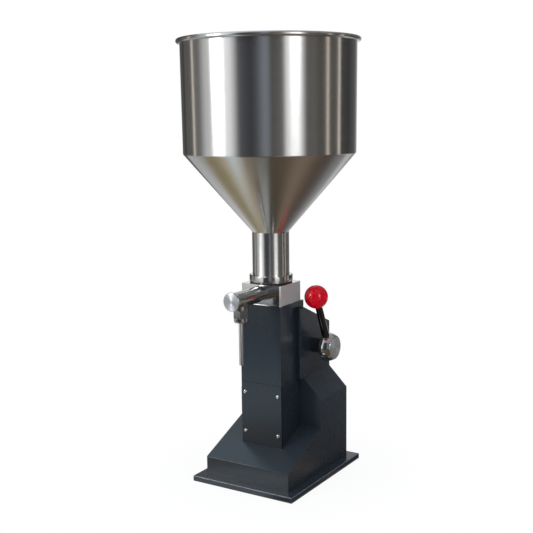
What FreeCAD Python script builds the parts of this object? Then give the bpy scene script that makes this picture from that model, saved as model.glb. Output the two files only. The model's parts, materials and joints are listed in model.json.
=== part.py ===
import FreeCAD, Part

import math
import os

from FreeCAD import Vector

# Manual paste filling machine. Lengths in millimetres, angles in degrees.
# X runs to the right seen from the front, Y to the back, Z up.
# The origin is the centre of the base plate's underside.

# Clearances
panel_gap = 0.2
running_gap = 0.04
slide_gap = 0.05
screw_gap = 0.2
thread_gap = 0.05
seat_gap = 0.1
stop_gap = 0.3
overlap = 0.5

# How far a cutting form runs past the piece that it cuts
past = 1.0

# Least length that an edge or face counts for
least = 1.0

# Share of an arc's radius between the corner that it rounds and its middle, along each side
arc_middle = 1 - math.cos(math.radians(45))

# Base plate
base_width = 206.0
base_depth = 252.0
base_thickness = 10.0
base_edge = 0.8

# Lower cover: skirt, sloping front and rear box with slanted shoulders
skirt_width = 172.0
skirt_front_y = -107.0
back_y = 108.0
skirt_top_z = 43.0
box_front_y = 8.5
slope_top_z = 90.5
shoulder_z = 143.5
roof_z = 180.0
sheet = 3.0
bend_radius = 1.0
lug_side = 20.0
lug_height = 14.0

# Hood over the lever shaft
hood_width = 99.0
hood_front_y = -3.0
hood_below_column = 11.5
hood_flat_end_y = 14.5
hood_fall = 42.0

# Column
column_width = 83.5
column_front_y = -56.0
column_back_y = 24.0
column_top_z = 320.5
column_window_half = 14.0
column_window_below_rack = 50.0
column_window_below_hood = 12.0
top_plate_thickness = 8.0

# Front access cover
front_cover_top_z = 177.5
front_cover_thickness = 3.0
front_cover_seam = 0.4
front_flange = 14.0
front_screw_span = 68.5
front_screw_high_z = 158.5
front_screw_low_z = 86.0

# Rear cover on the hood
rear_cover_width = 72.0
rear_cover_above_roof = 12.0
rear_cover_below_hood = 13.0
rear_cover_thickness = 2.5
rear_cover_corner = 3.0
rear_screw_inset = 7.0

# Cover screws and base screws
cover_screw_radius = 2.0
cover_screw_head_radius = 3.8
cover_screw_head_height = 2.2
cover_screw_length = 7.5
cover_screw_hex = 2.5
crown_share = 0.55
crown_middle_radius_share = 0.87
crown_middle_height_share = 0.62
button_socket_share = 0.6
cap_socket_share = 0.6
base_screw_radius = 3.0
base_screw_head_radius = 6.0
base_screw_length = 20.0
base_screw_hex = 4.0
base_screw_depth = 0.3

# Axis of the hopper, the pump and the piston rod
pump_y = -18.0

# Valve block
block_width = 81.0
block_depth = 71.0
block_height = 36.0
block_chamfer = 2.5
passage_radius = 18.0
seat_bore_radius = 26.0
seat_depth = 4.5
nipple_radius = 34.0
nipple_height = 11.5

# Pump cylinder
pump_bore_radius = 20.0
pump_wall = 5.0
pump_length = 82.0
pump_spigot = 1.5
pump_gasket = 0.5
pump_gasket_inset = 0.5
pump_flange_radius = 34.4
pump_flange_thickness = 8.0
pump_bolt_circle = 29.5
pump_bolt_radius = 2.5
pump_bolt_head_radius = 4.25
pump_bolt_head_height = 5.0
pump_bolt_grip = 10.0
pump_bolt_hex = 4.0

# Hopper
neck_radius = 32.8
neck_length = 79.5
cone_height = 137.0
hopper_wall_height = 195.5
hopper_radius = 150.8
hopper_top_radius = 152.2
hopper_wall = 1.2
hopper_flange_radius = 33.8
hopper_flange_thickness = 1.5
rim_radius = 4.0

# Hopper collar and gasket
collar_radius = 38.5
collar_height = 12.5
collar_round = 2.0
collar_edge = 0.8
collar_gasket_thickness = 2.3
collar_gasket_radius = 37.6

# Inlet valve
inlet_opening_radius = 13.0
inlet_seat_height = 5.0
inlet_hub_radius = 6.0
inlet_spoke_root = 1.0
inlet_spoke_width = 3.0
inlet_spokes = 3
inlet_head_radius = 15.5
inlet_head_height = 4.5
inlet_stem_radius = 3.0
inlet_stem_length = 24.0
inlet_clip_radius = 7.0
inlet_clip_thickness = 2.0
inlet_clip_drop = 3.0
inlet_spring_wire = 0.6
inlet_spring_radius = 4.8
inlet_spring_turns = 5

# Discharge tube
tube_above_column = 20.4
tube_radius = 14.2
tube_bore_radius = 9.0
tube_end_y = -140.5
tube_spigot_radius = 10.0
tube_spigot_length = 12.0
port_radius = 7.5
cap_seal_thickness = 0.8
cap_seal_inset = 0.3
cap_radius = 16.3
cap_thickness = 4.2
cap_edge = 1.4
cap_plug_length = 8.0

# Outlet valve
outlet_seat_start = 4.5
outlet_seat_length = 5.0
outlet_seat_opening = 5.5
outlet_ball_radius = 7.0
outlet_spring_wire = 0.6
outlet_spring_radius = 4.5
outlet_spring_turns = 6
outlet_spring_length = 22.5
outlet_retainer_length = 3.0
outlet_retainer_opening = 3.5

# Nozzle
nozzle_y = -117.0
boss_radius = 13.2
boss_length = 17.9
boss_bore_radius = 5.0
boss_spigot_radius = 10.0
boss_spigot_length = 9.0
nozzle_gasket_thickness = 1.0
nozzle_flange_thickness = 2.0
nozzle_flange_radius = 9.4
nozzle_radius = 4.0
nozzle_shank_radius = 3.8
nozzle_bore_radius = 3.0
nozzle_below_boss = 96.5
nut_flats = 24.0
nut_chamfer = 1.2
nut_hex_height = 13.5
nut_neck_radius = 12.1
nut_neck_height = 8.0
nut_round = 2.5

# Lever shaft and its bearings
shaft_y = 54.0
shaft_below_hood = 78.0
shaft_radius = 8.0
bush_wall = 2.0
bush_length = 22.0
boss_outer_radius = 13.0
boss_inner_length = 19.5
left_boss_length = 24.0
shaft_end_gap = 1.0
shaft_collar_radius = 14.0
shaft_collar_width = 9.0

# Sector gear and rack
gear_module = 2.5
gear_teeth = 24
pressure_angle = 20.0
gear_backlash = 0.15
gear_width = 13.0
gear_hub_radius = 15.0
gear_hub_width = 24.0
gear_teeth_before = 1
gear_teeth_after = 6
rack_width = 14.0
rack_back_thickness = 9.4
rack_end = 2.0
rack_screw_room = 3.0
rack_screw_spacing = 14.0
rack_screw_radius = 2.5
key_width = 5.0
key_height = 5.0
key_depth = 3.0
key_side_gap = 0.02

# Lever
hub_radius = 26.0
hub_widest_x = 74.0
hub_side_radius = 31.0
hub_back_x = 70.1
hub_face_x = 91.0
hub_face_edge = 1.8
hub_bore_end_x = 84.0
lever_rod_x = 76.6
lever_lean = 24.2
lever_length = 110.0
lever_seat = 24.6
lever_rod_base_radius = 7.0
lever_rod_tip_radius = 6.3
lever_stud_radius = 5.0
lever_stud_length = 12.0
ball_radius = 21.0
ball_flat_radius = 8.0
ball_stud_length = 15.0
ball_stud_room = 0.5
set_screw_radius = 3.0
set_screw_hex = 3.0
set_screw_recess = 2.0

# Piston and its rod
piston_top_gap = 4.5
piston_length = 30.0
piston_edge = 1.0
seal_width = 3.2
seal_depth = 2.5
seal_inset = 6.0
piston_rod_radius = 8.0
piston_stud_radius = 6.0
piston_stud_length = 20.0
piston_stud_room = 0.5
piston_rod_edge = 1.0
stop_nut_flats = 24.0
stop_nut_height = 5.8
stop_nut_count = 2
rod_end_below_nuts = 6.0

# Crosshead, return spring and stroke stops
crosshead_below_shaft = 43.0
crosshead_height = 24.0
crosshead_corner = 5.0
crosshead_width = 30.0
crosshead_front = 15.0
crosshead_pin_radius = 2.5
bracket_below_crosshead = 80.0
bracket_thickness = 8.0
guide_bush_length = 20.0
guide_bush_wall = 4.0
guide_flange_radius = 15.0
guide_flange_thickness = 3.0
return_wire = 2.0
return_radius = 12.0
return_turns = 8
stop_tube_radius = 18.0
stop_tube_wall = 2.5
lever_travel = 75.0

# Worked-out heights: all that the column carries moves with its top
hood_top_z = column_top_z - hood_below_column
hood_back_z = hood_top_z - hood_fall
shaft_z = hood_top_z - shaft_below_hood
crosshead_z = shaft_z - crosshead_below_shaft
bracket_z = crosshead_z - bracket_below_crosshead
column_window_low_z = crosshead_z - column_window_below_rack
column_window_high_z = hood_top_z - column_window_below_hood
rear_cover_low_z = roof_z + rear_cover_above_roof
rear_cover_high_z = hood_back_z - rear_cover_below_hood
tube_z = column_top_z + tube_above_column
boss_low_z = tube_z - boss_length
nozzle_end_z = boss_low_z - nozzle_below_boss

# Other worked-out values
skirt_half = skirt_width / 2
hood_half = hood_width / 2
column_half = column_width / 2
column_inner_half = column_half - sheet
block_top_z = column_top_z + block_height
block_front_y = pump_y - block_depth / 2
top_plate_z = column_top_z - top_plate_thickness
seat_z = block_top_z - seat_depth
nipple_top_z = block_top_z + nipple_height
cone_start_z = nipple_top_z + neck_length
cone_end_z = cone_start_z + cone_height
hopper_top_z = cone_end_z + hopper_wall_height
pump_outer_radius = pump_bore_radius + pump_wall
pump_top_z = column_top_z + pump_spigot
pump_bottom_z = pump_top_z - pump_length
slope_angle = math.atan2(slope_top_z - skirt_top_z, box_front_y - skirt_front_y)
roof_angle = math.atan2(roof_z - shoulder_z, skirt_half - hood_half)
pitch_radius = gear_module * gear_teeth / 2
rack_pitch = math.pi * gear_module
rack_pitch_y = shaft_y - pitch_radius
rack_root_y = rack_pitch_y - 1.25 * gear_module
rack_front_y = rack_root_y - rack_back_thickness
stroke = pitch_radius * math.radians(lever_travel)
piston_top_z = column_top_z - piston_top_gap
piston_bottom_z = piston_top_z - piston_length
guide_top_z = bracket_z + bracket_thickness + guide_flange_thickness
guide_bottom_z = bracket_z + bracket_thickness - guide_bush_length
lever_direction = (0.0, -math.sin(math.radians(lever_lean)), math.cos(math.radians(lever_lean)))


def box(low_x, high_x, low_y, high_y, low_z, high_z):
    corner = Vector(low_x, low_y, low_z)
    return Part.makeBox(high_x - low_x, high_y - low_y, high_z - low_z, corner)


def cylinder(radius, start, direction, length):
    return Part.makeCylinder(radius, length, Vector(*start), Vector(*direction))


def joined(shapes):
    whole = shapes[0].multiFuse(shapes[1:])
    return whole.removeSplitter()


def flat_face(points):
    corners = [Vector(*point) for point in points]
    return Part.Face(Part.makePolygon(corners + corners[:1]))


def prism_along_x(outline, low_x, high_x):
    face = flat_face([(low_x, y, z) for y, z in outline])
    return face.extrude(Vector(high_x - low_x, 0, 0))


def prism_along_y(outline, low_y, high_y):
    face = flat_face([(x, low_y, z) for x, z in outline])
    return face.extrude(Vector(0, high_y - low_y, 0))


def placed(shape, origin, axis):
    turn = FreeCAD.Rotation(Vector(0, 0, 1), Vector(*axis))
    shape.Placement = FreeCAD.Placement(Vector(*origin), turn)
    return shape


def turned(outline, origin, axis):
    """Solid of revolution. Outline holds (radius, height), or (radius, height, mid radius, mid height)
    where the outline reaches the point by an arc through the middle one."""
    edges = []
    last = outline[-1]
    for point in outline:
        start = Vector(last[0], 0, last[1])
        end = Vector(point[0], 0, point[1])
        if len(point) == 4:
            edges.append(Part.Arc(start, Vector(point[2], 0, point[3]), end).toShape())
        else:
            edges.append(Part.LineSegment(start, end).toShape())
        last = point
    solid = Part.Face(Part.Wire(edges)).revolve(Vector(0, 0, 0), Vector(0, 0, 1), 360)
    return placed(solid, origin, axis)


def ring(outer, inner, origin, axis, length):
    return turned([(inner, 0), (outer, 0), (outer, length), (inner, length)], origin, axis)


def hexagon(flats, origin, axis, length):
    corner = flats / math.sqrt(3)
    points = []
    for step in range(6):
        angle = math.radians(60 * step)
        points.append((corner * math.cos(angle), corner * math.sin(angle), 0))
    return placed(flat_face(points).extrude(Vector(0, 0, length)), origin, axis)


def coil(radius, wire, length, turns, origin, axis):
    """Open spring that fills the given length. The section of its wire has eight sides."""
    rise = length - wire
    path = Part.Wire(Part.makeHelix(rise / turns, rise, radius).Edges)
    slope = math.atan2(rise / turns, 2 * math.pi * radius)
    corner = wire / 2 / math.cos(math.pi / 8)
    section = []
    for step in range(8):
        angle = math.pi / 8 + math.pi / 4 * step
        out = corner * math.cos(angle)
        up = corner * math.sin(angle)
        section.append(Vector(radius + out, -up * math.sin(slope), up * math.cos(slope)))
    spring = path.makePipeShell([Part.makePolygon(section + section[:1])], True, True)
    start = [place + direction * wire / 2 for place, direction in zip(origin, axis)]
    return placed(spring, start, axis)


def edges_where(shape, test):
    return [edge for edge in shape.Edges if test(edge.BoundBox)]


def button_screw(radius, head_radius, head_height, length, hex_size, seat, axis):
    """Button-head screw: seat is the centre of the head's underside, axis points out of the head."""
    crown = head_radius * crown_share
    middle = (head_radius * crown_middle_radius_share, head_height * crown_middle_height_share)
    outline = [
        (0, -length),
        (radius, -length),
        (radius, 0),
        (head_radius, 0),
        (crown, head_height, *middle),
        (0, head_height),
    ]
    body = turned(outline, seat, axis)
    floor = head_height * (1 - button_socket_share)
    start = [place + direction * floor for place, direction in zip(seat, axis)]
    return body.cut(hexagon(hex_size, start, axis, head_height))


def cap_screw(radius, head_radius, head_height, length, hex_size, seat, axis):
    outline = [
        (0, -length),
        (radius, -length),
        (radius, 0),
        (head_radius, 0),
        (head_radius, head_height),
        (0, head_height),
    ]
    body = turned(outline, seat, axis)
    floor = head_height * (1 - cap_socket_share)
    start = [place + direction * floor for place, direction in zip(seat, axis)]
    return body.cut(hexagon(hex_size, start, axis, head_height))


def slope_height(y):
    return skirt_top_z + (y - skirt_front_y) * math.tan(slope_angle)


# Base and lower cover

def lug_centres():
    reach_x = skirt_half - sheet - lug_side / 2
    front = skirt_front_y + sheet + lug_side / 2
    back = back_y - sheet - lug_side / 2
    return [(x, y) for x in (-reach_x, reach_x) for y in (front, back)]


def make_base_plate():
    plate = box(-base_width / 2, base_width / 2, -base_depth / 2, base_depth / 2, 0, base_thickness)
    top = edges_where(plate, lambda b: b.ZMin > base_thickness / 2)
    plate = plate.makeChamfer(base_edge, top)
    hole = base_screw_radius + screw_gap
    sink = base_screw_head_radius + base_screw_depth + screw_gap
    for x, y in lug_centres():
        outline = [(0, -overlap), (sink + overlap, -overlap), (hole, sink - hole)]
        outline += [(hole, base_thickness + overlap), (0, base_thickness + overlap)]
        plate = plate.cut(turned(outline, (x, y, 0), (0, 0, 1)))
    return plate


def make_base_screws():
    screws = []
    for x, y in lug_centres():
        cone_end = base_screw_depth + base_screw_head_radius - base_screw_radius
        outline = [(0, base_screw_depth), (base_screw_head_radius, base_screw_depth)]
        outline += [(base_screw_radius, cone_end), (base_screw_radius, base_screw_length)]
        outline += [(0, base_screw_length)]
        screw = turned(outline, (x, y, 0), (0, 0, 1))
        socket = hexagon(base_screw_hex, (x, y, 0), (0, 0, 1), base_screw_radius)
        screws.append(screw.cut(socket))
    return Part.Compound(screws)


def cover_form(inset, floor_z, top_z):
    """The lower cover's outer form, or the room inside it when inset is the sheet's thickness."""
    half = skirt_half - inset
    drop = inset / math.cos(slope_angle)
    front = skirt_front_y + inset
    step = box_front_y + inset
    back = back_y - inset
    slant = math.tan(roof_angle)
    wall_top = shoulder_z + (inset - inset / math.sin(roof_angle)) * slant
    lower = [
        (front, floor_z),
        (back, floor_z),
        (back, wall_top),
        (step, wall_top),
        (step, slope_height(step) - drop),
        (front, slope_height(front) - drop),
    ]
    narrow = half - (top_z - wall_top) / slant
    base_z = wall_top - sheet
    roof = [(-half, base_z), (half, base_z), (half, wall_top)]
    roof += [(narrow, top_z), (-narrow, top_z), (-half, wall_top)]
    return joined([prism_along_x(lower, -half, half), prism_along_y(roof, step, back)])


def make_base_housing():
    outer = cover_form(0, base_thickness, roof_z)
    bends = edges_where(outer, is_front_bend)
    outer = outer.makeFillet(bend_radius, bends)
    inner = cover_form(sheet, base_thickness - overlap, roof_z + overlap)
    shell = outer.cut(inner)
    lugs = []
    for x, y in lug_centres():
        side = lug_side / 2
        lugs.append(box(x - side, x + side, y - side, y + side, base_thickness, base_thickness + lug_height))
    shell = joined([shell] + lugs)
    for x, y in lug_centres():
        start = (x, y, base_thickness - overlap)
        shell = shell.cut(cylinder(base_screw_radius + thread_gap, start, (0, 0, 1), base_screw_length))
    return shell.cut(column_room())


def is_front_bend(b):
    at_front = b.YMax < skirt_front_y + least and b.ZMin > base_thickness + least
    across = b.XLength > skirt_width / 2 and at_front
    upright = b.ZLength > sheet and b.XLength < least and b.YLength < least
    corner = upright and b.ZMax < shoulder_z + least
    return across or corner


def column_room():
    """Room for the column, with a gap all round, used to cut the sheets that it passes through."""
    return box(
        -column_half - panel_gap,
        column_half + panel_gap,
        column_front_y - panel_gap,
        column_back_y + panel_gap,
        base_thickness - overlap,
        hood_top_z + overlap,
    )


# Column

def front_cover_low_z():
    return slope_height(column_front_y) + front_cover_seam


def make_column_housing():
    floor = base_thickness
    tube = box(-column_half, column_half, column_front_y, column_back_y, floor, column_top_z)
    hollow = box(
        -column_inner_half,
        column_inner_half,
        column_front_y + sheet,
        column_back_y - sheet,
        floor - overlap,
        column_top_z + overlap,
    )
    tube = tube.cut(hollow)
    low = front_cover_low_z() - panel_gap
    high = front_cover_top_z + panel_gap
    seat_y = column_front_y + front_cover_thickness
    recess = box(-column_half - past, column_half + past, column_front_y - past, seat_y, low, high)
    tube = tube.cut(recess)
    frame = box(-column_inner_half, column_inner_half, seat_y, seat_y + sheet, low - sheet, high + sheet)
    reach = column_inner_half - front_flange
    low += front_flange
    high -= front_flange
    window = box(-reach, reach, seat_y - past, seat_y + sheet + past, low, high)
    tube = joined([tube, frame.cut(window)])
    for seat in front_screw_seats(seat_y):
        tube = tube.cut(cylinder(cover_screw_radius + thread_gap, seat, (0, 1, 0), sheet + past))
    slot = box(
        -column_window_half,
        column_window_half,
        column_back_y - sheet - past,
        column_back_y + past,
        column_window_low_z,
        column_window_high_z,
    )
    return tube.cut(slot)


def front_screw_seats(y):
    half = front_screw_span / 2
    return [(x, y, z) for x in (-half, half) for z in (front_screw_low_z, front_screw_high_z)]


def make_front_cover():
    low = front_cover_low_z()
    seat_y = column_front_y + front_cover_thickness
    plate = box(-column_half, column_half, column_front_y, seat_y, low, front_cover_top_z)
    length = front_cover_thickness + 2 * past
    for seat in front_screw_seats(column_front_y - past):
        plate = plate.cut(cylinder(cover_screw_radius + screw_gap, seat, (0, 1, 0), length))
    return plate


def cover_screw(seat, axis):
    return button_screw(
        cover_screw_radius,
        cover_screw_head_radius,
        cover_screw_head_height,
        cover_screw_length,
        cover_screw_hex,
        seat,
        axis,
    )


def make_front_cover_screws():
    return Part.Compound([cover_screw(seat, (0, -1, 0)) for seat in front_screw_seats(column_front_y)])


def bolt_places():
    reach = pump_bolt_circle / math.sqrt(2)
    return [(x, pump_y + y) for x in (-reach, reach) for y in (-reach, reach)]


def make_top_plate():
    plate = box(
        -column_inner_half,
        column_inner_half,
        column_front_y + sheet,
        column_back_y - sheet,
        top_plate_z,
        column_top_z,
    )
    low = top_plate_z - past
    length = top_plate_thickness + 2 * past
    plate = plate.cut(cylinder(pump_outer_radius + screw_gap, (0, pump_y, low), (0, 0, 1), length))
    for x, y in bolt_places():
        plate = plate.cut(cylinder(pump_bolt_radius + screw_gap, (x, y, low), (0, 0, 1), length))
    return plate


# Hood

def hood_form(inset, floor_z):
    half = hood_half - inset
    slant = math.atan2(hood_top_z - hood_back_z, back_y - hood_flat_end_y)
    drop = inset / math.cos(slant)
    bend_y = hood_flat_end_y - inset * math.tan(slant / 2)
    back = back_y - inset
    back_top = hood_back_z + inset * math.tan(slant) - drop
    outline = [
        (hood_front_y + inset, floor_z),
        (back, floor_z),
        (back, back_top),
        (bend_y, hood_top_z - inset),
        (hood_front_y + inset, hood_top_z - inset),
    ]
    return prism_along_x(outline, -half, half)


def make_hood():
    outer = hood_form(0, roof_z)
    outer = outer.makeFillet(bend_radius, edges_where(outer, lambda b: b.ZMax > roof_z + least))
    shell = outer.cut(hood_form(sheet, roof_z - overlap))
    floor = box(-hood_half, hood_half, hood_front_y, box_front_y, roof_z, roof_z + sheet)
    shell = joined([shell, floor]).cut(column_room())
    start = (hood_half - sheet - past, shaft_y, shaft_z)
    length = sheet + 2 * past
    shell = shell.cut(cylinder(boss_outer_radius + thread_gap, start, (1, 0, 0), length))
    for seat in rear_screw_seats(back_y - sheet - past):
        shell = shell.cut(cylinder(cover_screw_radius + thread_gap, seat, (0, 1, 0), length))
    return shell.cut(rear_window())


def rear_window():
    reach = rear_cover_width / 2 - 2 * rear_screw_inset
    low = rear_cover_low_z + 2 * rear_screw_inset
    high = rear_cover_high_z - 2 * rear_screw_inset
    return box(-reach, reach, back_y - sheet - past, back_y + past, low, high)


def rear_screw_seats(y):
    reach = rear_cover_width / 2 - rear_screw_inset
    heights = (rear_cover_low_z + rear_screw_inset, rear_cover_high_z - rear_screw_inset)
    return [(x, y, z) for x in (-reach, reach) for z in heights]


def make_rear_cover():
    half = rear_cover_width / 2
    outer_y = back_y + rear_cover_thickness
    plate = box(-half, half, back_y, outer_y, rear_cover_low_z, rear_cover_high_z)
    corners = edges_where(plate, lambda b: b.XLength < least and b.ZLength < least)
    plate = plate.makeFillet(rear_cover_corner, corners)
    length = rear_cover_thickness + 2 * past
    for seat in rear_screw_seats(back_y - past):
        plate = plate.cut(cylinder(cover_screw_radius + screw_gap, seat, (0, 1, 0), length))
    return plate


def make_rear_cover_screws():
    seats = rear_screw_seats(back_y + rear_cover_thickness)
    return Part.Compound([cover_screw(seat, (0, 1, 0)) for seat in seats])


# Valve block, pump cylinder and inlet valve

def make_valve_block():
    half = block_width / 2
    back = block_front_y + block_depth
    block = box(-half, half, block_front_y, back, column_top_z, block_top_z)
    corners = edges_where(block, lambda b: b.ZLength > least)
    block = block.makeChamfer(block_chamfer, corners)
    nipple = cylinder(nipple_radius, (0, pump_y, block_top_z - overlap), (0, 0, 1), nipple_height + overlap)
    block = joined([block, nipple])
    spigot = pump_spigot + pump_gasket
    bore = [
        (0, column_top_z - past),
        (pump_outer_radius + slide_gap, column_top_z - past),
        (pump_outer_radius + slide_gap, column_top_z + spigot),
        (passage_radius, column_top_z + spigot),
        (passage_radius, seat_z),
        (seat_bore_radius, seat_z),
        (seat_bore_radius, nipple_top_z + past),
        (0, nipple_top_z + past),
    ]
    block = block.cut(turned(bore, (0, pump_y, 0), (0, 0, 1)))
    port = [
        (0, -past),
        (tube_spigot_radius + thread_gap, -past),
        (tube_spigot_radius + thread_gap, tube_spigot_length + overlap),
        (port_radius, tube_spigot_length + overlap),
        (port_radius, block_depth / 2),
        (0, block_depth / 2),
    ]
    block = block.cut(turned(port, (0, block_front_y, tube_z), (0, 1, 0)))
    for x, y in bolt_places():
        start = (x, y, column_top_z - past)
        length = pump_bolt_grip + 2 * past
        block = block.cut(cylinder(pump_bolt_radius + thread_gap, start, (0, 0, 1), length))
    return block


def make_pump_cylinder():
    flange_high = top_plate_z
    flange_low = flange_high - pump_flange_thickness
    outline = [
        (pump_bore_radius, pump_bottom_z),
        (pump_outer_radius, pump_bottom_z),
        (pump_outer_radius, flange_low),
        (pump_flange_radius, flange_low),
        (pump_flange_radius, flange_high),
        (pump_outer_radius, flange_high),
        (pump_outer_radius, pump_top_z),
        (pump_bore_radius, pump_top_z),
    ]
    barrel = turned(outline, (0, pump_y, 0), (0, 0, 1))
    for x, y in bolt_places():
        start = (x, y, flange_low - past)
        length = pump_flange_thickness + 2 * past
        barrel = barrel.cut(cylinder(pump_bolt_radius + screw_gap, start, (0, 0, 1), length))
    return barrel


def make_pump_gasket():
    inner = pump_bore_radius + pump_gasket_inset
    return ring(pump_outer_radius, inner, (0, pump_y, pump_top_z), (0, 0, 1), pump_gasket)


def make_pump_bolts():
    seat_height = top_plate_z - pump_flange_thickness
    length = pump_flange_thickness + top_plate_thickness + pump_bolt_grip
    bolts = []
    for x, y in bolt_places():
        bolts.append(
            cap_screw(
                pump_bolt_radius,
                pump_bolt_head_radius,
                pump_bolt_head_height,
                length,
                pump_bolt_hex,
                (x, y, seat_height),
                (0, 0, -1),
            )
        )
    return Part.Compound(bolts)


def make_inlet_seat():
    origin = (0, pump_y, seat_z)
    rim = ring(seat_bore_radius - slide_gap, inlet_opening_radius, origin, (0, 0, 1), inlet_seat_height)
    pieces = [rim, cylinder(inlet_hub_radius, origin, (0, 0, 1), inlet_seat_height)]
    reach = inlet_opening_radius + inlet_spoke_root
    for step in range(inlet_spokes):
        spoke = box(0, reach, -inlet_spoke_width / 2, inlet_spoke_width / 2, 0, inlet_seat_height)
        spoke.rotate(Vector(0, 0, 0), Vector(0, 0, 1), 360 / inlet_spokes * step)
        spoke.translate(Vector(*origin))
        pieces.append(spoke)
    seat = joined(pieces)
    start = (0, pump_y, seat_z - past)
    length = inlet_seat_height + 2 * past
    return seat.cut(cylinder(inlet_stem_radius + slide_gap, start, (0, 0, 1), length))


def make_inlet_poppet():
    face = seat_z - seat_gap
    edge = inlet_head_height / 3
    outline = [
        (0, face - inlet_head_height),
        (inlet_head_radius - edge, face - inlet_head_height),
        (inlet_head_radius, face - inlet_head_height + edge),
        (inlet_head_radius, face),
        (inlet_stem_radius, face),
        (inlet_stem_radius, face + inlet_stem_length),
        (0, face + inlet_stem_length),
    ]
    return turned(outline, (0, pump_y, 0), (0, 0, 1))


def inlet_clip_z():
    return seat_z - seat_gap + inlet_stem_length - inlet_clip_drop - inlet_clip_thickness


def make_inlet_clip():
    origin = (0, pump_y, inlet_clip_z())
    return ring(inlet_clip_radius, inlet_stem_radius, origin, (0, 0, 1), inlet_clip_thickness)


def make_inlet_spring():
    low = seat_z + inlet_seat_height
    length = inlet_clip_z() - low
    return coil(
        inlet_spring_radius, inlet_spring_wire, length, inlet_spring_turns, (0, pump_y, low), (0, 0, 1)
    )


# Hopper

def make_hopper():
    cone = math.atan2(cone_end_z - cone_start_z, hopper_radius - neck_radius)
    shift = hopper_wall * math.tan((math.pi / 2 - cone) / 2)
    bead_z = hopper_top_z - rim_radius
    inner_neck = neck_radius - hopper_wall
    outline = [
        (inner_neck, nipple_top_z),
        (hopper_flange_radius, nipple_top_z),
        (hopper_flange_radius, nipple_top_z + hopper_flange_thickness),
        (neck_radius, nipple_top_z + hopper_flange_thickness),
        (neck_radius, cone_start_z),
        (hopper_radius, cone_end_z),
        (hopper_top_radius, bead_z),
        (hopper_top_radius - hopper_wall, bead_z),
        (hopper_radius - hopper_wall, cone_end_z + shift),
        (inner_neck, cone_start_z + shift),
    ]
    body = turned(outline, (0, pump_y, 0), (0, 0, 1))
    bead_radius = hopper_top_radius - hopper_wall + rim_radius
    bead = Part.makeTorus(bead_radius, rim_radius, Vector(0, pump_y, bead_z))
    return joined([body, bead])


def make_hopper_collar():
    low = block_top_z + collar_gasket_thickness
    high = low + collar_height
    thread = nipple_radius + thread_gap
    inner = neck_radius + slide_gap
    middle = collar_round * arc_middle
    lip_z = nipple_top_z + hopper_flange_thickness + seat_gap
    outline = [
        (thread, low),
        (collar_radius - collar_edge, low),
        (collar_radius, low + collar_edge),
        (collar_radius, high - collar_round),
        (collar_radius - collar_round, high, collar_radius - middle, high - middle),
        (inner, high),
        (inner, lip_z),
        (thread, lip_z),
    ]
    return turned(outline, (0, pump_y, 0), (0, 0, 1))


def make_collar_gasket():
    inner = nipple_radius + slide_gap
    return ring(collar_gasket_radius, inner, (0, pump_y, block_top_z), (0, 0, 1), collar_gasket_thickness)


# Discharge tube, outlet valve and nozzle

def make_discharge_tube():
    length = block_front_y - tube_end_y
    tube = cylinder(tube_radius, (0, tube_end_y, tube_z), (0, 1, 0), length)
    spigot = cylinder(tube_spigot_radius, (0, block_front_y - overlap, tube_z), (0, 1, 0),
                      tube_spigot_length + overlap)
    boss = cylinder(boss_radius, (0, nozzle_y, boss_low_z), (0, 0, 1), tube_z - boss_low_z)
    nose = cylinder(boss_spigot_radius, (0, nozzle_y, boss_low_z - boss_spigot_length), (0, 0, 1),
                    boss_spigot_length + overlap)
    tube = joined([tube, spigot, boss, nose])
    bore = [
        (0, tube_end_y - past),
        (tube_bore_radius, tube_end_y - past),
        (tube_bore_radius, block_front_y),
        (port_radius, block_front_y),
        (port_radius, block_front_y + tube_spigot_length + past),
        (0, block_front_y + tube_spigot_length + past),
    ]
    tube = tube.cut(turned(bore, (0, 0, tube_z), (0, 1, 0)))
    start = (0, nozzle_y, boss_low_z - boss_spigot_length - past)
    return tube.cut(cylinder(boss_bore_radius, start, (0, 0, 1), tube_z - start[2]))


def make_tube_end_cap():
    face = cap_seal_thickness + cap_thickness
    plug = tube_bore_radius - slide_gap
    middle = cap_edge * arc_middle
    outline = [
        (0, -cap_plug_length),
        (plug, -cap_plug_length),
        (plug, cap_seal_thickness),
        (cap_radius, cap_seal_thickness),
        (cap_radius, face - cap_edge),
        (cap_radius - cap_edge, face, cap_radius - middle, face - middle),
        (0, face),
    ]
    return turned(outline, (0, tube_end_y, tube_z), (0, -1, 0))


def make_end_cap_seal():
    inner = tube_bore_radius + slide_gap
    outer = tube_radius - cap_seal_inset
    return ring(outer, inner, (0, tube_end_y, tube_z), (0, -1, 0), cap_seal_thickness)


def outlet_seat_y():
    return block_front_y - outlet_seat_start - outlet_seat_length


def make_outlet_seat():
    outer = tube_bore_radius - slide_gap
    start = (0, block_front_y - outlet_seat_start, tube_z)
    return ring(outer, outlet_seat_opening, start, (0, -1, 0), outlet_seat_length)


def outlet_ball_y():
    reach = math.sqrt(outlet_ball_radius ** 2 - outlet_seat_opening ** 2)
    return outlet_seat_y() - reach - seat_gap


def make_outlet_ball():
    return Part.makeSphere(outlet_ball_radius, Vector(0, outlet_ball_y(), tube_z))


def outlet_spring_y():
    reach = math.sqrt((outlet_ball_radius + outlet_spring_wire / 2) ** 2 - outlet_spring_radius ** 2)
    return outlet_ball_y() - reach + outlet_spring_wire / 2 - slide_gap


def make_outlet_spring():
    return coil(
        outlet_spring_radius,
        outlet_spring_wire,
        outlet_spring_length,
        outlet_spring_turns,
        (0, outlet_spring_y(), tube_z),
        (0, -1, 0),
    )


def make_outlet_retainer():
    start = (0, outlet_spring_y() - outlet_spring_length, tube_z)
    outer = tube_bore_radius - slide_gap
    return ring(outer, outlet_retainer_opening, start, (0, -1, 0), outlet_retainer_length)


def nozzle_gasket_z():
    return boss_low_z - boss_spigot_length - nozzle_gasket_thickness


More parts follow.
